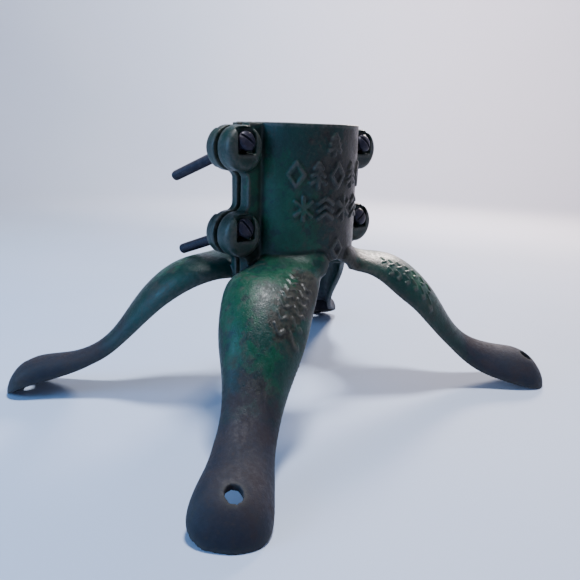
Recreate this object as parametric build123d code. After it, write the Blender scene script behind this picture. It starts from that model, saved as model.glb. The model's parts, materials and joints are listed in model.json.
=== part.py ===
from build123d import *
import os
from math import cos, hypot, pi, radians, sin

# A cast-iron tree stand: two castings close round a trunk, and four loose bolts draw them together.
# The origin is on the floor under the collar's axis. +Z is up, the parting plane between the two
# castings is y = 0, and the bolts run along Y, with their heads on the -Y side.
# All sizes are in millimetres.

# Collar, with an arch in its lower edge between the two legs of each casting
BORE_RADIUS = 41.0
COLLAR_RADIUS = 45.4
COLLAR_BOTTOM = 97.0
RIM_HEIGHT = 207.4
PARTING_GAP = 4.0
ARCH_TOP = 112.0
ARCH_RADIUS = 16.0

# Flanges and ears, which the bolts pass through. Each ear is a round boss that stands out from its
# flange, with a pocket for the bolt's head or nut and a narrow groove between it and the collar.
FLANGE_RADIUS = 55.7
FLANGE_TOP = 206.6
BOLT_RADIUS_FROM_AXIS = 61.0
EAR_RADIUS = 15.5
EAR_HEIGHTS = {"upper": 189.5, "lower": 131.0}
EAR_BLEND = 6.0
POCKET_WIDTH = 16.0
GROOVE_FROM_AXIS = 44.3
INNER_WALL = 5.0
SLOT_WIDTH = 9.5
# Rises are measured from the middle of the ear.
FRONT = {"flange": 8.75, "boss": 4.5, "rounding": 4.5, "pocket_rise": 5.3, "pocket_height": 18.0,
         "slot_rise": 2.6, "slot_height": 12.6}
REAR = {"flange": 5.75, "boss": 4.0, "rounding": 3.0, "pocket_rise": 0.0, "pocket_height": 40.0,
        "slot_rise": -1.0, "slot_height": 18.0}

# Legs. Each leg is a hollow shell, open underneath, whose side nearer its casting's own middle hangs
# lower than the side nearer the parting plane. Heights below zero are ground off flat, which gives
# each foot the narrow pad that it stands on.
LEG_ANGLE = 52.1
LEG_WALL = 4.0
CROWN_ROUNDNESS = 0.85
CAVITY_END = 211.0
FOOT_HOLE_RADIUS = 4.75
FOOT_HOLE_FROM_AXIS = 202.0
# Distance from the collar's axis, then heights of the crown, the parting-side rim and the
# outer-side rim, half of the width, and how far the section's middle stands to the outer side.
LEG_STATIONS = [
    (26.0, 118.0, 96.5, 102.0, 27.0, -1.0),
    (46.0, 116.5, 96.5, 101.5, 28.5, -1.5),
    (54.0, 112.8, 96.5, 99.5, 30.0, -3.5),
    (64.0, 110.8, 95.0, 94.5, 31.5, -5.0),
    (78.0, 108.5, 89.0, 83.0, 31.0, -6.0),
    (94.0, 101.5, 78.5, 70.5, 29.5, -6.0),
    (108.0, 90.0, 65.5, 56.5, 26.0, -6.0),
    (121.0, 74.5, 52.0, 43.5, 21.5, -5.5),
    (134.0, 55.5, 39.5, 31.5, 18.5, -5.0),
    (148.0, 41.0, 29.5, 20.0, 17.5, -4.5),
    (164.0, 33.0, 21.5, 11.5, 18.5, -3.5),
    (182.0, 29.5, 15.5, 6.0, 20.5, -2.3),
    (198.0, 26.5, 11.0, 2.0, 22.0, -2.2),
    (207.0, 22.0, 7.5, 0.5, 21.0, -2.8),
    (212.5, 16.5, 4.5, -0.5, 17.5, -3.5),
    (216.5, 9.5, 1.5, -1.0, 11.5, -4.0),
    (218.0, 4.0, 0.3, -0.8, 6.5, -4.0),
]

# Bolts: 5/16 in, round head with a slot, lying loose in the ears and drooping to the rear
SHANK_RADIUS = 3.97
SHANK_LENGTHS = {"upper": 88.9, "lower": 79.4}
TIP_CHAMFER = 1.2
HEAD_RADIUS = 6.9
HEAD_HEIGHT = 4.2
DRIVER_SLOT_WIDTH = 2.0
DRIVER_SLOT_DEPTH = 2.4
DRIVER_SLOT_TURNS = {"upper_left": 38.0, "upper_right": 48.0, "lower_left": 58.0, "lower_right": -30.0}
BOLT_DROOP = 19.0
HEAD_SEAT_Y = -13.4
HEAD_SEAT_RISE = 4.8

# Square nuts
NUT_ACROSS_FLATS = 14.3
NUT_THICKNESS = 6.8
NUT_CORNER = 1.2
NUT_BORE_RADIUS = SHANK_RADIUS + 0.05
NUT_FACE_Y = 10.7

SIDES = {"left": -1, "right": 1}
HALF_GAP = PARTING_GAP / 2
TALL = 400.0


# ---------------------------------------------------------------- legs

def leg_point(station, turn, wall, crown_wall):
    """A point of one leg section at an angle from the outer rim (0) over the crown to the other rim."""
    reach, crown, parting_rim, outer_rim, half_width, offset = station
    middle = (outer_rim + parting_rim) / 2
    lean = (outer_rim - parting_rim) / 2
    across = offset + (half_width - wall) * cos(turn)
    height = middle + lean * cos(turn) + (crown - crown_wall - middle) * sin(turn) ** CROWN_ROUNDNESS
    return Vector(reach, across, height)


def leg_arch(station, wall=0.0, crown_wall=0.0):
    """The arched line of a section, from the outer rim over the crown to the parting-side rim."""
    steps = 12
    turns = [pi * i / steps for i in range(steps + 1)]
    return [leg_point(station, turn, wall, crown_wall) for turn in turns]


def outer_section(station):
    """The leg's full section: its arch closed straight across from rim to rim."""
    arch = leg_arch(station)
    return Face(Wire([Spline(*arch), Line(arch[-1], arch[0])]))


def crown_slope(index):
    """How steeply the crown falls at a station, from its neighbours."""
    before = LEG_STATIONS[max(index - 1, 0)]
    after = LEG_STATIONS[min(index + 1, len(LEG_STATIONS) - 1)]
    return (after[1] - before[1]) / (after[0] - before[0])


def cavity_section(index):
    """The hollow under the crown at a station, carried down past both rims so that it cuts clear."""
    station = LEG_STATIONS[index]
    arch = leg_arch(station, LEG_WALL, LEG_WALL * hypot(1, crown_slope(index)))
    drop = Vector(0, 0, -18)
    outer_foot = arch[0] + drop
    parting_foot = arch[-1] + drop
    edges = [Spline(*arch), Line(arch[-1], parting_foot), Line(parting_foot, outer_foot),
             Line(outer_foot, arch[0])]
    return Face(Wire(edges))


def leg_body():
    """One leg as a full solid, pointing along +X with its outer side towards +Y."""
    return loft([outer_section(station) for station in LEG_STATIONS])


def leg_cavity():
    """The hollow of that leg, which stops short of the toe."""
    last = max(i for i, station in enumerate(LEG_STATIONS) if station[0] < CAVITY_END)
    return loft([cavity_section(i) for i in range(last + 1)])


def foot_hole():
    """The upright fixing hole through the foot's crown."""
    hole = Cylinder(FOOT_HOLE_RADIUS, TALL / 4)
    return Pos(FOOT_HOLE_FROM_AXIS, 0, 0) * hole


def at_front_legs(shape):
    """A leg-shaped piece set at both front legs: turned for the left, mirrored for the right."""
    left = Rot(0, 0, 270 - LEG_ANGLE) * shape
    return [left, mirror(left, about=Plane.YZ)]


# ---------------------------------------------------------------- collar, flanges and ears

def flange_outline():
    """The right-hand flange with its two ears, drawn in the XZ plane."""
    inner = BORE_RADIUS - 6
    strip = Pos((inner + FLANGE_RADIUS) / 2, (COLLAR_BOTTOM + FLANGE_TOP) / 2) * Rectangle(
        FLANGE_RADIUS - inner, FLANGE_TOP - COLLAR_BOTTOM)
    outline = strip
    for height in EAR_HEIGHTS.values():
        outline += Pos(BOLT_RADIUS_FROM_AXIS, height) * Circle(EAR_RADIUS)
    notches = [v for v in outline.vertices()
               if abs(v.X - FLANGE_RADIUS) < 0.01 and COLLAR_BOTTOM + 1 < v.Y < FLANGE_TOP - 5]
    return fillet(notches, EAR_BLEND)


def upright(sketch, start, depth):
    """A sketch drawn in the XZ plane, made solid from y = -start for that depth towards -Y."""
    return Pos(0, -start, 0) * extrude(Plane.XZ * sketch, depth)


def ear_boss(height, form):
    """One right-hand ear's boss, its front edge rounded."""
    disc = Pos(BOLT_RADIUS_FROM_AXIS, height) * Circle(EAR_RADIUS)
    boss = upright(disc, HALF_GAP, form["flange"] + form["boss"])
    return fillet(boss.edges().sort_by(Axis.Y)[0], form["rounding"])


def ear_cuts(height, form):
    """What is taken out of one right-hand ear: its pocket, its groove and the bolt's upright slot."""
    face = HALF_GAP + form["flange"]
    pocket_height = form["pocket_height"]
    pocket_middle = height + form["pocket_rise"]
    groove_end = BOLT_RADIUS_FROM_AXIS - POCKET_WIDTH / 2 - INNER_WALL
    groove_width = groove_end - GROOVE_FROM_AXIS
    pocket = Pos(BOLT_RADIUS_FROM_AXIS, pocket_middle) * Rectangle(POCKET_WIDTH, pocket_height)
    groove = Pos(groove_end - groove_width / 2, pocket_middle) * Rectangle(groove_width, pocket_height)
    slot = Pos(BOLT_RADIUS_FROM_AXIS, height + form["slot_rise"]) * Rot(0, 0, 90) * SlotOverall(
        form["slot_height"], SLOT_WIDTH)
    return [upright(pocket, face, TALL / 8), upright(groove, face, TALL / 8), upright(slot, -1, TALL / 8)]


def on_both_sides(shapes):
    """Right-hand shapes together with their left-hand mirror images."""
    return shapes + [mirror(shape, about=Plane.YZ) for shape in shapes]


def collar_arch():
    """The space under the arch in the collar's lower edge."""
    start = BORE_RADIUS - 6
    spring = ARCH_TOP - ARCH_RADIUS
    outline = Pos(0, spring) * Circle(ARCH_RADIUS) + Pos(0, spring / 2) * Rectangle(2 * ARCH_RADIUS, spring)
    return upright(outline, start, COLLAR_RADIUS + 3 - start)


def casting(form):
    """One whole casting, made as the front half."""
    collar_height = RIM_HEIGHT - COLLAR_BOTTOM
    collar = Pos(0, 0, COLLAR_BOTTOM + collar_height / 2) * Cylinder(COLLAR_RADIUS, collar_height)
    flange = upright(flange_outline(), HALF_GAP, form["flange"])
    bosses = [ear_boss(height, form) for height in EAR_HEIGHTS.values()]
    ears = [cut for height in EAR_HEIGHTS.values() for cut in ear_cuts(height, form)]
    body = collar.fuse(*on_both_sides([flange] + bosses), *at_front_legs(leg_body()))
    bore = Pos(0, 0, RIM_HEIGHT) * Cylinder(BORE_RADIUS, TALL)
    behind = Pos(0, TALL / 2 - HALF_GAP, 0) * Box(TALL * 2, TALL, TALL * 2)
    floor = Pos(0, 0, -TALL / 2) * Box(TALL * 2, TALL * 2, TALL)
    leg_cuts = at_front_legs(leg_cavity()) + at_front_legs(foot_hole())
    return body.cut(bore, behind, floor, collar_arch(), *leg_cuts, *on_both_sides(ears))


# ---------------------------------------------------------------- bolts and nuts

def bolt_place(level, side):
    """Where a bolt's head seats, with the local +Z running back along its drooping shank."""
    seat = Vector(side * BOLT_RADIUS_FROM_AXIS, HEAD_SEAT_Y, EAR_HEIGHTS[level] + HEAD_SEAT_RISE)
    return Pos(seat) * Rot(-90 - BOLT_DROOP, 0, 0)


def bolt(shank_length, slot_turn):
    """A slotted round-head bolt with its seat at the origin and its shank along +Z."""
    shank = extrude(Circle(SHANK_RADIUS), shank_length)
    shank = chamfer(shank.edges().sort_by(Axis.Z)[-1], TIP_CHAMFER)
    ball_radius = (HEAD_RADIUS ** 2 + HEAD_HEIGHT ** 2) / (2 * HEAD_HEIGHT)
    ball = Pos(0, 0, ball_radius - HEAD_HEIGHT) * Sphere(ball_radius)
    below_seat = Pos(0, 0, -HEAD_HEIGHT / 2) * Box(TALL / 10, TALL / 10, HEAD_HEIGHT)
    head = ball & below_seat
    groove = Pos(0, 0, DRIVER_SLOT_DEPTH / 2 - HEAD_HEIGHT) * Box(
        3 * HEAD_RADIUS, DRIVER_SLOT_WIDTH, DRIVER_SLOT_DEPTH)
    return shank.fuse(head).cut(Rot(0, 0, slot_turn) * groove)


def nut():
    """A square nut with its leading face at the origin, along +Z."""
    block = extrude(Rectangle(NUT_ACROSS_FLATS, NUT_ACROSS_FLATS), NUT_THICKNESS)
    block = chamfer(block.edges().filter_by(Axis.Z), NUT_CORNER)
    return block.cut(Cylinder(NUT_BORE_RADIUS, TALL / 8))


def nut_advance():
    """How far along the bolt, from the head's seat, the nut's leading face stands."""
    return (NUT_FACE_Y - HEAD_SEAT_Y) / cos(radians(BOLT_DROOP))


# ---------------------------------------------------------------- the parts

os.makedirs("parts", exist_ok=True)
parts = {
    "front_casting": casting(FRONT),
    "rear_casting": Rot(0, 0, 180) * casting(REAR),
}
for level in EAR_HEIGHTS:
    for side_name, side in SIDES.items():
        corner = f"{level}_{side_name}"
        place = bolt_place(level, side)
        parts[f"{corner}_bolt"] = place * bolt(SHANK_LENGTHS[level], DRIVER_SLOT_TURNS[corner])
        parts[f"{corner}_nut"] = place * Pos(0, 0, nut_advance()) * nut()

for name, shape in parts.items():
    solids = shape.solids()
    print(name, len(solids), "solid", round(sum(s.volume for s in solids)), "mm3")
    export_step(solids[0] if len(solids) == 1 else Compound(solids), f"parts/{name}.step")
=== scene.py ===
import json
from math import cos, pi, radians, sin

import bpy
import numpy as np
from mathutils import Matrix, Vector, noise


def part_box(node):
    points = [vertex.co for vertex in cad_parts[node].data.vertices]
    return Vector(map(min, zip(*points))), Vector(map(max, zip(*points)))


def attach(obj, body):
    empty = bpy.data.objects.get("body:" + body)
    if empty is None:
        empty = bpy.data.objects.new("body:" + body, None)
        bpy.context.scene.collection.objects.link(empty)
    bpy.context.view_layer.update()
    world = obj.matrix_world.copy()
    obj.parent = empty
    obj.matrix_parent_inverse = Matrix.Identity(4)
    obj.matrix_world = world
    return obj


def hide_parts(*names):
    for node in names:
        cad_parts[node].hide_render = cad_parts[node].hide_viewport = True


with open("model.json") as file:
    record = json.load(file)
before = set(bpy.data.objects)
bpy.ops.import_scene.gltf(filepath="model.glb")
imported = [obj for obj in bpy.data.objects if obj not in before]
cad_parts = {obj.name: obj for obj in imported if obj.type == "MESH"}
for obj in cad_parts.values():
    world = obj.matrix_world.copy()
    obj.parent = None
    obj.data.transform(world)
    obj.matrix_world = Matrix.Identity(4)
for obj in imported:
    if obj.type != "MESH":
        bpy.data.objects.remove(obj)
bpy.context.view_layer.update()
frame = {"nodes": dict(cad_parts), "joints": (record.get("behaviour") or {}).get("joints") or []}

# A worn cast-iron tree stand, green over dark iron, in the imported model's frame: metres, the origin on
# the floor under the collar, +Z up, the front casting towards -Y. MM turns millimetres into metres.
MM = 0.001

# Castings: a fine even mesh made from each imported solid, then softened, given its raised ornament and
# its sand-cast skin, and thinned again where it is smooth.
CAST_VOXEL = 0.75 * MM
EDGE_SOFTENING_STEPS = 12
STEP_IN = 0.5
STEP_OUT = 0.52
SAND_DEPTH = 0.055 * MM
SAND_SIZE = 1.6 * MM
UNEVEN_DEPTH = 0.22 * MM
UNEVEN_SIZE = 19 * MM
SKIN_STARTS_AT = 1.5 * MM
SKIN_GROWS_OVER = 3 * MM
CONVEXITY_STEPS = 24
CONVEXITY_SCALE = 0.8 * MM
CAST_TRIANGLES = 190000

# Raised ornament on the collar's front face, drawn in millimetres round the collar and up
RELIEF_HEIGHT = 1.3 * MM
STROKE_HALF_WIDTH = 0.95
STROKE_RAMP = 0.8
COLLAR_SKIN_RADIUS = 44.2
COLLAR_OUTERMOST = 47.0
COLLAR_FACE_Y = -12.0
COLLAR_FACE_BOTTOM = 105.0
FACING_OUT = 0.6

# Raised marks along the outer side of each front leg, drawn in millimetres along and across it
LEG_ANGLE = radians(52.1)
LEG_MARK_HEIGHT = 0.75 * MM
LEG_MARK_HALF_WIDTH = 0.35
LEG_MARKS_ALONG = (60.0, 122.0)
LEG_MARKS_ACROSS = (0.0, 30.0)
CLEAR_OF_COLLAR = 49.0
FACING_UP = 0.15

# Where the green is left thick and where it is rubbed down to brown, each spot as x, y, z and radius in
# millimetres: the collar's left side, the front left leg, the front right leg and the rear legs
THICK_PAINT_SPOTS = (
    (-42, -18, 170, 18), (-37, -26, 147, 22), (-32, -32, 122, 20),
    (-75, -34, 95, 20), (-62, -44, 106, 14), (-92, -50, 84, 14), (-104, -62, 68, 12),
    (-96, -82, 68, 10), (-95, -94, 54, 9), (-120, -82, 42, 9),
    (50, -38, 104, 16), (74, -66, 92, 12), (100, -78, 80, 10),
    (60, 40, 105, 20), (-70, 52, 96, 18))
# The collar's front, the front left leg's outer side, the front right leg, and the rear casting
WORN_SPOTS = (
    (10, -44, 178, 30), (6, -45, 150, 26), (8, -44, 122, 24),
    (-46, -58, 104, 18), (-60, -68, 97, 17), (-76, -74, 86, 14), (-112, -90, 52, 14),
    (88, -64, 90, 14), (-20, 45, 160, 30), (92, 70, 84, 14), (-84, 78, 88, 13))

# How far the noise pushes a spot's edge about, and where the spot starts and ends its fade with that
# push counted in, all in spot radii
RAGGEDNESS = 5
SPOT_FULL = 2.9
SPOT_GONE = 4.1

# Bolts and nuts, in millimetres but for the voxels
THREAD_PITCH = 25.4 / 18
THREAD_DEPTH = 0.62
CREST_FLAT = 0.12
CREST_TO_ROOT = 0.76
THREAD_RUN_IN = 4.0
LEVELS_A_TURN = 8
TIP_LENGTH = 2.2
TIP_ROUNDING = 1.8
SHANK_RADIUS = 3.93
SHANK_LENGTHS = {"upper": 88.8, "lower": 79.3}
HEAD_RADIUS = 6.8
HEAD_HEIGHT = 4.1
HEAD_EDGE = 1.1
HEAD_BEVEL = 0.3
HEAD_OVERLAP = 0.5
DRIVER_SLOT_WIDTH = 2.0
DRIVER_SLOT_DEPTH = 2.3
DRIVER_SLOT_TURNS = {"upper_left": 38.0, "upper_right": 48.0, "lower_left": 58.0, "lower_right": -30.0}
BOLT_VOXEL = 0.21 * MM
BOLT_TRIANGLES = 60000
NUT_ACROSS_FLATS = 14.2
NUT_THICKNESS = 6.7
NUT_BORE_RADIUS = 4.2
NUT_VOXEL = 0.3 * MM


# ---------------------------------------------------------------- meshes

def new_object(name, points, faces):
    """A mesh object from points in metres."""
    mesh = bpy.data.meshes.new(name)
    mesh.from_pydata([tuple(p) for p in points], [], faces)
    mesh.validate()
    thing = bpy.data.objects.new(name, mesh)
    bpy.context.scene.collection.objects.link(thing)
    return thing


def settle(thing):
    """Gives an object the mesh that its modifiers make, and takes the modifiers off."""
    graph = bpy.context.evaluated_depsgraph_get()
    made = bpy.data.meshes.new_from_object(thing.evaluated_get(graph))
    thing.modifiers.clear()
    thing.data = made


def remesh(thing, voxel):
    """One even closed skin round everything in the object."""
    modifier = thing.modifiers.new("Remesh", "REMESH")
    modifier.mode = "VOXEL"
    modifier.voxel_size = voxel
    settle(thing)


def thin(thing, triangles):
    """Collapses the smoothest areas until about that many triangles are left."""
    present = sum(len(p.vertices) - 2 for p in thing.data.polygons)
    if present > triangles:
        modifier = thing.modifiers.new("Thin", "DECIMATE")
        modifier.ratio = triangles / present
        settle(thing)


def cut(thing, cutter):
    """Takes one closed solid out of another."""
    modifier = thing.modifiers.new("Cut", "BOOLEAN")
    modifier.object = cutter
    modifier.operation = "DIFFERENCE"
    modifier.solver = "EXACT"
    settle(thing)
    bpy.data.objects.remove(cutter)


def points_of(thing):
    """The vertices as an array, one row each."""
    flat = np.empty(len(thing.data.vertices) * 3)
    thing.data.vertices.foreach_get("co", flat)
    return flat.reshape(-1, 3)


def normals_of(thing):
    """The vertex normals as an array, one row each."""
    flat = np.empty(len(thing.data.vertices) * 3)
    thing.data.vertex_normals.foreach_get("vector", flat)
    return flat.reshape(-1, 3)


def move_points(thing, points):
    """Puts the vertices at the rows of an array."""
    thing.data.vertices.foreach_set("co", points.ravel())
    thing.data.update()


def neighbour_average(thing):
    """A function that averages each vertex's neighbours, for any array with one row a vertex."""
    edges = np.empty(len(thing.data.edges) * 2, dtype=np.int64)
    thing.data.edges.foreach_get("vertices", edges)
    edges = edges.reshape(-1, 2)
    start = np.concatenate([edges[:, 0], edges[:, 1]])
    end = np.concatenate([edges[:, 1], edges[:, 0]])
    total = len(thing.data.vertices)
    degree = np.maximum(np.bincount(start, minlength=total), 1)

    def average(rows):
        sums = [np.bincount(start, weights=column[end], minlength=total) for column in rows.T]
        return np.stack(sums, axis=1) / degree[:, None]

    return average


def soften(thing, steps):
    """Rounds edges without shrinking the shape, by turns a step in and a step out."""
    average = neighbour_average(thing)
    points = points_of(thing)
    for _ in range(steps):
        points += STEP_IN * (average(points) - points)
        points -= STEP_OUT * (average(points) - points)
    move_points(thing, points)


def store(thing, name, values):
    """Keeps one number a vertex under a name that materials can read."""
    layer = thing.data.attributes.new(name, "FLOAT", "POINT")
    layer.data.foreach_set("value", np.ascontiguousarray(values, dtype=np.float32))


def store_convexity(thing, steps, scale):
    """Keeps how far each vertex stands out from its smoothed surroundings, about -1 to 1."""
    average = neighbour_average(thing)
    points = points_of(thing)
    smooth = points.copy()
    for _ in range(steps):
        smooth = average(smooth)
    stands_out = ((points - smooth) * normals_of(thing)).sum(axis=1) / scale
    stands_out = stands_out[:, None]
    for _ in range(2):
        stands_out = average(stands_out)
    store(thing, "convexity", np.clip(stands_out[:, 0], -1, 1))


def shade_smooth(thing):
    """Smooth shading over the whole mesh."""
    flags = np.ones(len(thing.data.polygons), dtype=bool)
    thing.data.polygons.foreach_set("use_smooth", flags)


# ---------------------------------------------------------------- ornament

def fir(x, y, half_width, half_height):
    """Strokes of a small fir tree: a stem and three pairs of drooping branches."""
    strokes = [((x, y - half_height), (x, y + half_height))]
    for share, top in ((0.5, 0.95), (0.78, 0.35), (1.0, -0.25)):
        reach = half_width * share
        peak = y + half_height * top
        fall = half_height * 0.42
        strokes.append(((x, peak), (x - reach, peak - fall)))
        strokes.append(((x, peak), (x + reach, peak - fall)))
    return strokes


def lozenge(x, y, half_width, half_height):
    """Strokes of an upright diamond."""
    corners = [(x + half_width, y), (x, y + half_height), (x - half_width, y), (x, y - half_height)]
    return [(corners[i], corners[(i + 1) % 4]) for i in range(4)]


def snowflake(x, y, half_width, half_height):
    """Three strokes crossing at the middle, with the upright one the longest."""
    strokes = [((x, y - half_height), (x, y + half_height))]
    for lift in (-0.62, 0.62):
        rise = half_height * lift
        strokes.append(((x - half_width, y - rise), (x + half_width, y + rise)))
    return strokes


def chevrons(x, y, half_width, half_height):
    """Three stacked strokes that point upwards."""
    strokes = []
    for level in (-0.85, -0.2, 0.45):
        low = y + half_height * level
        peak = low + half_height * 0.5
        strokes.append(((x - half_width, low), (x, peak)))
        strokes.append(((x, peak), (x + half_width, low)))
    return strokes


def collar_strokes():
    """All the strokes on the collar, in millimetres round from the middle of its face and up."""
    strokes = fir(-7.0, 194.0, 4.8, 6.6)
    for i, motif in enumerate((lozenge, fir, lozenge, fir, lozenge)):
        strokes += motif(-34.0 + 15.2 * i, 173.0, 5.4, 8.2)
    for i, motif in enumerate((snowflake, chevrons, snowflake, chevrons)):
        strokes += motif(-28.5 + 16.0 * i, 149.8, 5.6, 8.0)
    strokes += lozenge(-1.5, 120.5, 4.6, 6.4)
    return strokes


def leg_strokes():
    """Two rows of raised sprigs down a leg, in millimetres along it and across to its outer side."""
    strokes = []
    rows = (((70.0, 10.4), (110.0, 7.2), 7, 3.1), ((74.0, 19.4), (108.0, 16.2), 6, 2.5))
    for start, end, count, reach in rows:
        for i in range(count):
            share = i / (count - 1)
            along = start[0] + (end[0] - start[0]) * share
            across = start[1] + (end[1] - start[1]) * share
            strokes.append(((along - 1.4, across - reach), (along + 1.4, across - 0.5)))
            strokes.append(((along - 1.4, across + reach), (along + 1.4, across + 0.5)))
    return strokes


def stroke_distance(places, strokes):
    """Distance from each place to the nearest stroke."""
    nearest = np.full(len(places), 1e9)
    for start, end in strokes:
        start = np.array(start)
        run = np.array(end) - start
        share = np.clip(((places - start) @ run) / (run @ run), 0, 1)
        gap = places - start - share[:, None] * run
        nearest = np.minimum(nearest, np.hypot(gap[:, 0], gap[:, 1]))
    return nearest


def raised(distance, half_width):
    """1 on a stroke's top, falling to 0 down its sloping sides."""
    share = np.clip((half_width + STROKE_RAMP - distance) / STROKE_RAMP, 0, 1)
    return share * share * (3 - 2 * share)


def ornament(thing):
    """Raises the collar's motifs and the marks on both front legs, and says how much at each vertex."""
    points = points_of(thing)
    normals = normals_of(thing)
    x, y, z = (points / MM).T
    out = np.hypot(x, y)
    outward = (points[:, 0] * normals[:, 0] + points[:, 1] * normals[:, 1]) / np.maximum(out * MM, 1e-9)

    on_collar = (out > COLLAR_SKIN_RADIUS) & (out < COLLAR_OUTERMOST) & (outward > FACING_OUT)
    on_collar &= (y < COLLAR_FACE_Y) & (z > COLLAR_FACE_BOTTOM)
    round_and_up = np.stack([np.arctan2(x, -y) * COLLAR_SKIN_RADIUS, z], axis=1)
    mask = np.zeros(len(points))
    distance = stroke_distance(round_and_up[on_collar], collar_strokes())
    mask[on_collar] = raised(distance, STROKE_HALF_WIDTH)
    points += normals * (mask * RELIEF_HEIGHT)[:, None]

    for side in (-1, 1):
        along = x * side * sin(LEG_ANGLE) - y * cos(LEG_ANGLE)
        across = -x * side * cos(LEG_ANGLE) - y * sin(LEG_ANGLE)
        on_leg = (along > LEG_MARKS_ALONG[0]) & (along < LEG_MARKS_ALONG[1])
        on_leg &= (across > LEG_MARKS_ACROSS[0]) & (across < LEG_MARKS_ACROSS[1])
        on_leg &= (normals[:, 2] > FACING_UP) & (out > CLEAR_OF_COLLAR)
        places = np.stack([along, across], axis=1)[on_leg]
        marks = raised(stroke_distance(places, leg_strokes()), LEG_MARK_HALF_WIDTH)
        mask[on_leg] = np.maximum(mask[on_leg], marks)
        points[on_leg] += normals[on_leg] * (marks * LEG_MARK_HEIGHT)[:, None]
    move_points(thing, points)
    return mask


# ---------------------------------------------------------------- castings

def sand_skin(thing):
    """Small grains and slow waves all over, as green-sand casting leaves them, but not at the floor."""
    points = points_of(thing)
    normals = normals_of(thing)
    lift = np.empty(len(points))
    for i, point in enumerate(points):
        place = Vector(point)
        grain = noise.noise(place / SAND_SIZE)
        wave = noise.noise(place / UNEVEN_SIZE)
        lift[i] = grain * SAND_DEPTH + wave * UNEVEN_DEPTH
    above_floor = np.clip((points[:, 2] - SKIN_STARTS_AT) / SKIN_GROWS_OVER, 0, 1)
    move_points(thing, points + normals * (lift * above_floor)[:, None])


def casting(node, decorated):
    """The finished look of one casting."""
    thing = bpy.data.objects.new(node + "_iron", frame["nodes"][node].data.copy())
    bpy.context.scene.collection.objects.link(thing)
    remesh(thing, CAST_VOXEL)
    soften(thing, EDGE_SOFTENING_STEPS)
    mask = ornament(thing) if decorated else np.zeros(len(thing.data.vertices))
    sand_skin(thing)
    store(thing, "relief", mask)
    store_convexity(thing, CONVEXITY_STEPS, CONVEXITY_SCALE)
    thin(thing, CAST_TRIANGLES)
    shade_smooth(thing)
    return thing


# ---------------------------------------------------------------- bolts and nuts

def stack(name, rings):
    """A closed solid from rings of points, lowest first, capped at both ends."""
    count = len(rings[0])
    points = [p for ring in rings for p in ring]
    faces = []
    for level in range(len(rings) - 1):
        for i in range(count):
            j = (i + 1) % count
            low = level * count
            high = low + count
            faces.append((low + i, low + j, high + j, high + i))
    faces.append(tuple(reversed(range(count))))
    last = (len(rings) - 1) * count
    faces.append(tuple(last + i for i in range(count)))
    return new_object(name, points, faces)


def ring(radii, height):
    """Points round the Z axis at one height, with a radius each, from millimetres."""
    count = len(radii)
    turns = [2 * pi * i / count for i in range(count)]
    return [(r * cos(t) * MM, r * sin(t) * MM, height * MM) for r, t in zip(radii, turns)]


def thread_radius(turn, height, length):
    """The radius at a place on the screw thread of a shank of that length, in millimetres."""
    phase = (height / THREAD_PITCH - turn / (2 * pi)) % 1.0
    depth = abs(2 * phase - 1)
    crest_gone = min(max((depth - CREST_FLAT) / CREST_TO_ROOT, 0), 1)
    tip = max(0.0, height - (length - TIP_LENGTH))
    rounding = TIP_ROUNDING * (tip / TIP_LENGTH) ** 2
    start = min(max(height / THREAD_RUN_IN, 0), 1)
    return SHANK_RADIUS - THREAD_DEPTH * crest_gone * start - rounding


def threaded_shank(length):
    """A bolt's shank along +Z, with a right-handed thread."""
    sides = 40
    levels = int(length / THREAD_PITCH * LEVELS_A_TURN)
    rings = []
    for level in range(levels + 1):
        height = length * level / levels
        radii = [thread_radius(2 * pi * i / sides, height, length) for i in range(sides)]
        rings.append(ring(radii, height))
    return stack("shank", rings)


def slotted_head():
    """A domed head under the seat at z = 0, with the driver's slot along X."""
    sides = 64
    under = HEAD_RADIUS - HEAD_BEVEL
    edge = [(under, HEAD_OVERLAP), (under, 0.0), (HEAD_RADIUS, -HEAD_BEVEL), (HEAD_RADIUS, -HEAD_EDGE)]
    dome = []
    steps = 12
    for i in range(1, steps):
        turn = pi / 2 * i / steps
        dome.append((HEAD_RADIUS * cos(turn), -HEAD_EDGE - (HEAD_HEIGHT - HEAD_EDGE) * sin(turn)))
    profile = list(reversed(edge + dome))
    head = stack("head", [ring([radius] * sides, height) for radius, height in profile])
    half = DRIVER_SLOT_WIDTH / 2
    bottom = -HEAD_HEIGHT + DRIVER_SLOT_DEPTH
    long = HEAD_RADIUS * 1.5
    corners = [(-long, -half), (long, -half), (long, half), (-long, half)]
    rings = [[(x * MM, y * MM, h * MM) for x, y in corners] for h in (-HEAD_HEIGHT * 2, bottom)]
    cut(head, stack("slot", rings))
    return head


def join(first, second):
    """One object with both meshes, in place of the two."""
    points = np.concatenate([points_of(first), points_of(second)])
    shift = len(first.data.vertices)
    faces = [tuple(p.vertices) for p in first.data.polygons]
    faces += [tuple(v + shift for v in p.vertices) for p in second.data.polygons]
    whole = new_object(first.name + "_whole", points, faces)
    bpy.data.objects.remove(first)
    bpy.data.objects.remove(second)
    return whole


def bolt_shape(length):
    """A bolt of that shank length, with its seat at the origin and its shank along +Z."""
    whole = join(threaded_shank(length), slotted_head())
    remesh(whole, BOLT_VOXEL)
    soften(whole, 1)
    store_convexity(whole, 10, 0.12 * MM)
    thin(whole, BOLT_TRIANGLES)
    shade_smooth(whole)
    return whole


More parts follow.
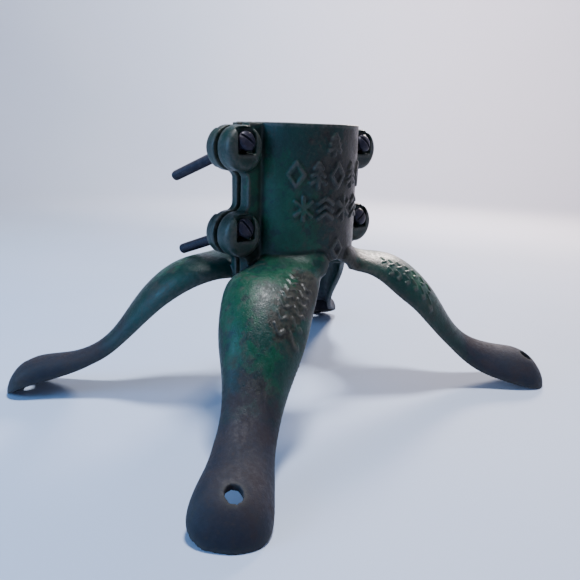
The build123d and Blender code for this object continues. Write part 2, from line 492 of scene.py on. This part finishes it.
def nut_shape():
    """A square nut, its leading face at the origin and its other face bevelled, along +Z."""
    sides = 96
    flat = NUT_ACROSS_FLATS / 2
    corner = flat * 1.27
    rings = []
    for height, reach in ((0, 1.17), (0.5, 1.27), (NUT_THICKNESS - 1.6, 1.27), (NUT_THICKNESS, 1.04)):
        radii = []
        for i in range(sides):
            turn = (2 * pi * i / sides + pi / 4) % (pi / 2) - pi / 4
            radii.append(min(flat / cos(turn), corner, flat * reach))
        rings.append(ring(radii, height))
    nut = stack("nut", rings)
    bore = stack("bore", [ring([NUT_BORE_RADIUS] * 48, height) for height in (-2, NUT_THICKNESS + 2)])
    cut(nut, bore)
    wide = [NUT_BORE_RADIUS + 1.3] * 48
    narrow = [NUT_BORE_RADIUS - 0.3] * 48
    cut(nut, stack("lead_in", [ring(wide, -1.0), ring(narrow, 1.0)]))
    cut(nut, stack("lead_out", [ring(narrow, NUT_THICKNESS - 1), ring(wide, NUT_THICKNESS + 1)]))
    remesh(nut, NUT_VOXEL)
    soften(nut, 3)
    store_convexity(nut, 12, 0.3 * MM)
    shade_smooth(nut)
    return nut


def placed(shape, name, place):
    """A copy of a shape at a place in the frame."""
    thing = bpy.data.objects.new(name, shape.data.copy())
    bpy.context.scene.collection.objects.link(thing)
    thing.data.transform(place)
    return thing


def bolt_seats():
    """Each bolt's seat, with local +Z down its shank, from the joint that it turns on."""
    seats = {}
    for joint in frame["joints"]:
        if joint["type"] == "hinge":
            shank = Vector(joint["axis"]).normalized()
            side = Vector((1, 0, 0))
            across = shank.cross(side)
            turn = Matrix((side, across, shank)).transposed().to_4x4()
            seats[joint["child"]] = Matrix.Translation(joint["pos_m"]) @ turn
    return seats


def nut_face(seat, nut_node):
    """How far down the shank the nut's leading face lies."""
    low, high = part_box(nut_node)
    middle = (low + high) / 2
    return (seat.inverted() @ middle).z - NUT_THICKNESS * MM / 2


# ---------------------------------------------------------------- materials

class Shader:
    """A material's node tree, with short ways to add what the materials here need."""

    def __init__(self, name):
        self.material = bpy.data.materials.new(name)
        self.material.use_nodes = True
        self.tree = self.material.node_tree
        self.tree.nodes.clear()
        self.surface = self.tree.nodes.new("ShaderNodeBsdfPrincipled")
        output = self.tree.nodes.new("ShaderNodeOutputMaterial")
        self.tree.links.new(self.surface.outputs[0], output.inputs[0])
        self.place = self.tree.nodes.new("ShaderNodeTexCoord").outputs["Object"]

    def put(self, socket, value):
        """Links a socket, or sets it to a plain value."""
        if isinstance(value, bpy.types.NodeSocket):
            self.tree.links.new(value, socket)
        else:
            socket.default_value = value

    def noise(self, size, detail=4.0, roughness=0.55, distortion=0.0):
        """Cloudy noise whose features are about that many metres across."""
        node = self.tree.nodes.new("ShaderNodeTexNoise")
        self.put(node.inputs["Vector"], self.place)
        node.inputs["Scale"].default_value = 1 / size
        node.inputs["Detail"].default_value = detail
        node.inputs["Roughness"].default_value = roughness
        node.inputs["Distortion"].default_value = distortion
        return node.outputs["Fac"]

    def cells(self, size, feature="F1"):
        """Distance to scattered points about that many metres apart."""
        node = self.tree.nodes.new("ShaderNodeTexVoronoi")
        node.feature = feature
        self.put(node.inputs["Vector"], self.place)
        node.inputs["Scale"].default_value = 1 / size
        return node.outputs["Distance"]

    def math(self, operation, first, second=0.0):
        """One arithmetic step."""
        node = self.tree.nodes.new("ShaderNodeMath")
        node.operation = operation
        self.put(node.inputs[0], first)
        self.put(node.inputs[1], second)
        return node.outputs[0]

    def step(self, value, low, high, to_low=0.0, to_high=1.0):
        """A smooth step from one level to another as a value rises from low to high."""
        node = self.tree.nodes.new("ShaderNodeMapRange")
        node.interpolation_type = "SMOOTHSTEP"
        self.put(node.inputs["Value"], value)
        node.inputs["From Min"].default_value = low
        node.inputs["From Max"].default_value = high
        node.inputs["To Min"].default_value = to_low
        node.inputs["To Max"].default_value = to_high
        return node.outputs["Result"]

    def mix(self, share, first, second):
        """One colour fading into another."""
        node = self.tree.nodes.new("ShaderNodeMix")
        node.data_type = "RGBA"
        self.put(node.inputs["Factor"], share)
        for socket, colour in ((node.inputs[6], first), (node.inputs[7], second)):
            self.put(socket, (*colour, 1.0) if isinstance(colour, tuple) else colour)
        return node.outputs[2]

    def attribute(self, name):
        """A number kept at each vertex."""
        node = self.tree.nodes.new("ShaderNodeAttribute")
        node.attribute_name = name
        return node.outputs["Fac"]

    def axis_parts(self):
        """The place's distance from the collar's axis, and its x and y."""
        split = self.tree.nodes.new("ShaderNodeSeparateXYZ")
        self.put(split.inputs[0], self.place)
        x, y = split.outputs[0], split.outputs[1]
        squares = self.math("ADD", self.math("POWER", x, 2), self.math("POWER", y, 2))
        return self.math("SQRT", squares), x, y

    def patch_at(self, spots, ragged):
        """1 at the middle of each spot, falling to 0 at its ragged edge."""
        most = 0.0
        for *middle, radius in spots:
            gap = self.tree.nodes.new("ShaderNodeVectorMath")
            gap.operation = "DISTANCE"
            self.put(gap.inputs[0], self.place)
            gap.inputs[1].default_value = [c * MM for c in middle]
            reach = radius * MM
            push = self.math("MULTIPLY", ragged, RAGGEDNESS * reach)
            far = self.math("ADD", gap.outputs["Value"], push)
            near = self.step(far, SPOT_FULL * reach, SPOT_GONE * reach, 1.0, 0.0)
            most = self.math("MAXIMUM", most, near)
        return most

    def bump(self, height, depth, strength, under=None):
        """A bump from a height that runs from 0 to 1, that many metres deep."""
        node = self.tree.nodes.new("ShaderNodeBump")
        node.inputs["Strength"].default_value = strength
        node.inputs["Distance"].default_value = depth
        self.put(node.inputs["Height"], height)
        if under is not None:
            self.put(node.inputs["Normal"], under)
        return node.outputs["Normal"]

    def finish(self, colour, roughness, metal, normal, shine=0.5):
        """Connects the surface and gives back the material."""
        self.surface.inputs["Specular IOR Level"].default_value = shine
        self.put(self.surface.inputs["Base Color"], colour)
        self.put(self.surface.inputs["Roughness"], roughness)
        self.put(self.surface.inputs["Metallic"], metal)
        self.put(self.surface.inputs["Normal"], normal)
        return self.material


def worn_green_iron():
    """Old green paint, rubbed and stained over dark cast iron, and gone from the feet, with grime and
    painted shade in its hollows.
    """
    s = Shader("worn_green_iron")
    reach = s.axis_parts()[0]
    convexity = s.attribute("convexity")
    relief = s.attribute("relief")
    clouds = s.noise(45 * MM, 5, 0.6, 0.3)
    patches = s.noise(17 * MM, 6, 0.62, 0.3)
    flecks = s.noise(3.2 * MM, 5, 0.65)
    grain = s.noise(0.9 * MM, 3, 0.6)
    speckle = s.noise(1.5 * MM, 5, 0.75)

    iron = s.mix(s.step(patches, 0.35, 0.65), (0.0060, 0.0080, 0.0170), (0.0140, 0.0115, 0.0165))
    iron = s.mix(s.step(flecks, 0.52, 0.80), iron, (0.024, 0.018, 0.019))
    thin_paint = s.mix(s.step(clouds, 0.40, 0.62), (0.0008, 0.0150, 0.0130), (0.0006, 0.0250, 0.0180))
    thin_paint = s.mix(s.step(flecks, 0.50, 0.78), thin_paint, (0.008, 0.026, 0.020))
    thick_paint = s.mix(s.step(patches, 0.35, 0.65), (0.0001, 0.0340, 0.0165), (0.0001, 0.0560, 0.0270))
    bare_brown = s.mix(s.step(flecks, 0.35, 0.65), (0.0090, 0.0076, 0.0066), (0.0300, 0.0275, 0.0200))

    fringe = s.noise(8 * MM, 5, 0.6)
    ragged = s.math("ADD", s.math("MULTIPLY", fringe, 0.7), s.math("MULTIPLY", clouds, 0.3))
    worn = s.patch_at(WORN_SPOTS, ragged)
    coat = s.mix(s.step(worn, 0.25, 0.75, 0.0, 0.85), thin_paint, bare_brown)
    green = s.patch_at(THICK_PAINT_SPOTS, ragged)
    coat = s.mix(s.step(green, 0.25, 0.75, 0.0, 0.9), coat, thick_paint)
    stain = s.step(s.math("ADD", patches, s.math("MULTIPLY", flecks, 0.35)), 0.66, 0.84)
    coat = s.mix(s.math("MULTIPLY", stain, 0.55), coat, bare_brown)

    # Pale specks over the coat: partly pale grit, partly painted glints for the sparkle of the sandy
    # surface.
    pale_grit_and_glints = (0.020, 0.040, 0.037)
    dark_specks = (0.002, 0.006, 0.006)
    coat = s.mix(s.step(speckle, 0.53, 0.70, 0.0, 0.45), coat, pale_grit_and_glints)
    coat = s.mix(s.step(speckle, 0.32, 0.46, 0.55, 0.0), coat, dark_specks)

    towards_foot = s.math("ADD", reach, s.math("MULTIPLY", patches, 60 * MM))
    bare = s.step(towards_foot, 148 * MM, 184 * MM)
    colour = s.mix(s.math("MULTIPLY", bare, 0.95), coat, iron)
    rubbed = s.step(convexity, 0.15, 0.65)
    rubbed = s.math("MAXIMUM", rubbed, s.math("MULTIPLY", relief, 0.55))
    rubbed = s.math("MULTIPLY", rubbed, s.step(flecks, 0.30, 0.60, 0.15, 0.8))
    rubbed = s.math("MULTIPLY", rubbed, s.step(bare, 0.0, 1.0, 1.0, 0.45))
    rubbed_iron = (0.052, 0.054, 0.046)
    colour = s.mix(rubbed, colour, rubbed_iron)
    # Hollows darkened towards near-black: partly real grime, partly painted shade where ambient shade
    # would fall.
    hollow = s.step(convexity, -0.45, -0.05, 1.0, 0.0)
    hollow_grime_and_shade = (0.0015, 0.003, 0.003)
    colour = s.mix(s.math("MULTIPLY", hollow, 0.6), colour, hollow_grime_and_shade)

    roughness = s.math("ADD", s.step(flecks, 0.3, 0.7, 0.32, 0.50), s.math("MULTIPLY", stain, 0.12))
    roughness = s.math("ADD", roughness, s.math("MULTIPLY", bare, 0.26))
    metal = s.math("MULTIPLY", rubbed, 0.15)
    pits = s.step(s.cells(2.4 * MM), 0.10, 0.30)
    normal = s.bump(s.noise(5 * MM, 4, 0.6), 0.5 * MM, 0.40)
    normal = s.bump(s.cells(1.7 * MM, "SMOOTH_F1"), 0.30 * MM, 0.22, normal)
    normal = s.bump(bare, 0.12 * MM, 0.35, normal)
    normal = s.bump(grain, 0.25 * MM, 0.60, normal)
    normal = s.bump(pits, 0.18 * MM, 0.35, normal)
    return s.finish(colour, roughness, metal, normal, 0.25)


def blackened_steel():
    """Dark oiled steel, a little rusty in patches, paler where it is rubbed, with grime and painted
    shade in its hollows.
    """
    s = Shader("blackened_steel")
    convexity = s.attribute("convexity")
    patches = s.noise(6 * MM, 5, 0.6)
    flecks = s.noise(1.1 * MM, 4, 0.6)
    steel = s.mix(s.step(patches, 0.35, 0.65), (0.008, 0.009, 0.021), (0.016, 0.014, 0.026))
    rust = s.mix(flecks, (0.016, 0.009, 0.008), (0.036, 0.020, 0.015))
    steel = s.mix(s.math("MULTIPLY", s.step(patches, 0.54, 0.74), 0.5), steel, rust)
    rubbed_steel = (0.050, 0.048, 0.060)
    hollow_grime_and_shade = (0.005, 0.004, 0.006)
    steel = s.mix(s.math("MULTIPLY", s.step(convexity, 0.2, 0.8), 0.35), steel, rubbed_steel)
    # Hollows darkened: partly real grime, partly painted shade.
    steel = s.mix(s.step(convexity, -0.6, -0.1, 0.7, 0.0), steel, hollow_grime_and_shade)
    roughness = s.step(flecks, 0.3, 0.7, 0.36, 0.58)
    metal = s.step(patches, 0.3, 0.7, 0.45, 0.20)
    normal = s.bump(flecks, 0.10 * MM, 0.45)
    return s.finish(steel, roughness, metal, normal, 0.35)


def paper():
    """A pale matt sheet for the floor and backdrop, with painted light: bluer on the left and lighter
    far away.
    """
    s = Shader("paper")
    reach, x, y = s.axis_parts()
    # Painted light: bluer to the left, where cool window light falls, and warmer to the right.
    left_to_right = s.step(s.math("SUBTRACT", x, y), -0.9, 1.3)
    near = s.mix(left_to_right, (0.30, 0.42, 0.60), (0.45, 0.465, 0.54))
    far = s.mix(left_to_right, (0.50, 0.57, 0.68), (0.68, 0.65, 0.70))
    # Painted light: the floor near the stand darker and the far wall lighter, as if lit.
    tone = s.mix(s.step(reach, 0.25, 1.5), near, far)
    tone = s.mix(s.step(s.noise(0.35, 3), 0.3, 0.7, 0.0, 0.06), tone, (0.8, 0.8, 0.82))
    normal = s.bump(s.noise(2 * MM, 3), 0.05 * MM, 0.2)
    return s.finish(tone, 0.75, 0.0, normal)


# ---------------------------------------------------------------- stage

def backdrop():
    """A round floor that sweeps up into a wall all the way round."""
    flat, bend, wall, sides = 1.5, 0.7, 1.1, 96
    profile = [(flat * i / 6, 0.0) for i in range(1, 7)]
    turns = [pi / 2 * i / 16 for i in range(1, 17)]
    profile += [(flat + bend * sin(t), bend * (1 - cos(t))) for t in turns]
    profile.append((flat + bend, bend + wall))
    rings = [ring([radius / MM] * sides, height / MM) for radius, height in profile]
    points = [(0.0, 0.0, 0.0)] + [p for loop in rings for p in loop]
    faces = [(0, 1 + i, 1 + (i + 1) % sides) for i in range(sides)]
    for level in range(len(rings) - 1):
        low = 1 + level * sides
        high = low + sides
        for i in range(sides):
            j = (i + 1) % sides
            faces.append((low + i, high + i, high + j, low + j))
    floor = new_object("floor", points, faces)
    floor.data.materials.append(paper())
    shade_smooth(floor)


def area_light(name, place, size, power, colour, aim=(0, 0, 0.1)):
    """A soft square light, aimed at the stand's middle unless told otherwise."""
    light = bpy.data.lights.new(name, "AREA")
    light.size = size
    light.energy = power
    light.color = colour
    lamp = bpy.data.objects.new(name, light)
    lamp.location = place
    lamp.rotation_euler = (Vector(aim) - lamp.location).to_track_quat("-Z", "Y").to_euler()
    lamp.visible_camera = False
    bpy.context.scene.collection.objects.link(lamp)


def lighting():
    """A dim blue sky, with warm light on the right and the wall, cool on the left, and soft above."""
    world = bpy.data.worlds.new("sky")
    world.use_nodes = True
    sky = world.node_tree.nodes["Background"]
    sky.inputs["Color"].default_value = (0.40, 0.64, 1.0, 1.0)
    sky.inputs["Strength"].default_value = 0.16
    bpy.context.scene.world = world
    area_light("window_right", (1.10, 0.45, 0.75), 0.25, 22.0, (1.0, 0.87, 0.82))
    area_light("window_left", (-1.05, 0.30, 0.50), 0.6, 13.0, (0.24, 0.54, 1.0))
    area_light("overhead", (0.05, -0.02, 1.35), 0.24, 32.0, (0.97, 0.95, 1.0))
    area_light("wall_wash", (0.70, 0.60, 1.10), 0.5, 38.0, (1.0, 0.92, 0.93), aim=(1.9, 1.3, 0.8))


def camera():
    """The camera, low and near, turned a little clockwise."""
    data = bpy.data.cameras.new("camera")
    data.sensor_width = 36.0
    data.lens = 38.9
    view = bpy.data.objects.new("camera", data)
    heading, pitch, roll = radians(44.65), radians(14.19), radians(1.92)
    ahead = Vector((sin(heading) * cos(pitch), cos(heading) * cos(pitch), -sin(pitch)))
    level = Vector((cos(heading), -sin(heading), 0))
    up = level.cross(ahead)
    right = level * cos(roll) + up * sin(roll)
    up = right.cross(ahead)
    view.matrix_world = Matrix((right, up, -ahead)).transposed().to_4x4()
    view.location = (-0.3391, -0.3413, 0.2016)
    bpy.context.scene.collection.objects.link(view)
    bpy.context.scene.camera = view


# ---------------------------------------------------------------- the stand

def place_piece(piece, node, material):
    """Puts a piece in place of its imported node, on the body that the node belongs to."""
    piece.data.materials.clear()
    piece.data.materials.append(material)
    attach(piece, node)
    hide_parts(node)


iron = worn_green_iron()
steel = blackened_steel()
for node, decorated in (("front_casting", True), ("rear_casting", False)):
    place_piece(casting(node, decorated), node, iron)

bolts = {level: bolt_shape(length) for level, length in SHANK_LENGTHS.items()}
nut = nut_shape()
for bolt_node, seat in bolt_seats().items():
    corner = bolt_node.removesuffix("_bolt")
    nut_node = corner + "_nut"
    slot_turn = Matrix.Rotation(radians(DRIVER_SLOT_TURNS[corner]), 4, "Z")
    bolt = bolts[corner.split("_")[0]]
    face = Matrix.Translation((0, 0, nut_face(seat, nut_node)))
    for shape, node, place in ((bolt, bolt_node, seat @ slot_turn), (nut, nut_node, seat @ face)):
        place_piece(placed(shape, node + "_steel", place), node, steel)
for pattern in (*bolts.values(), nut):
    bpy.data.objects.remove(pattern)

backdrop()
lighting()
camera()
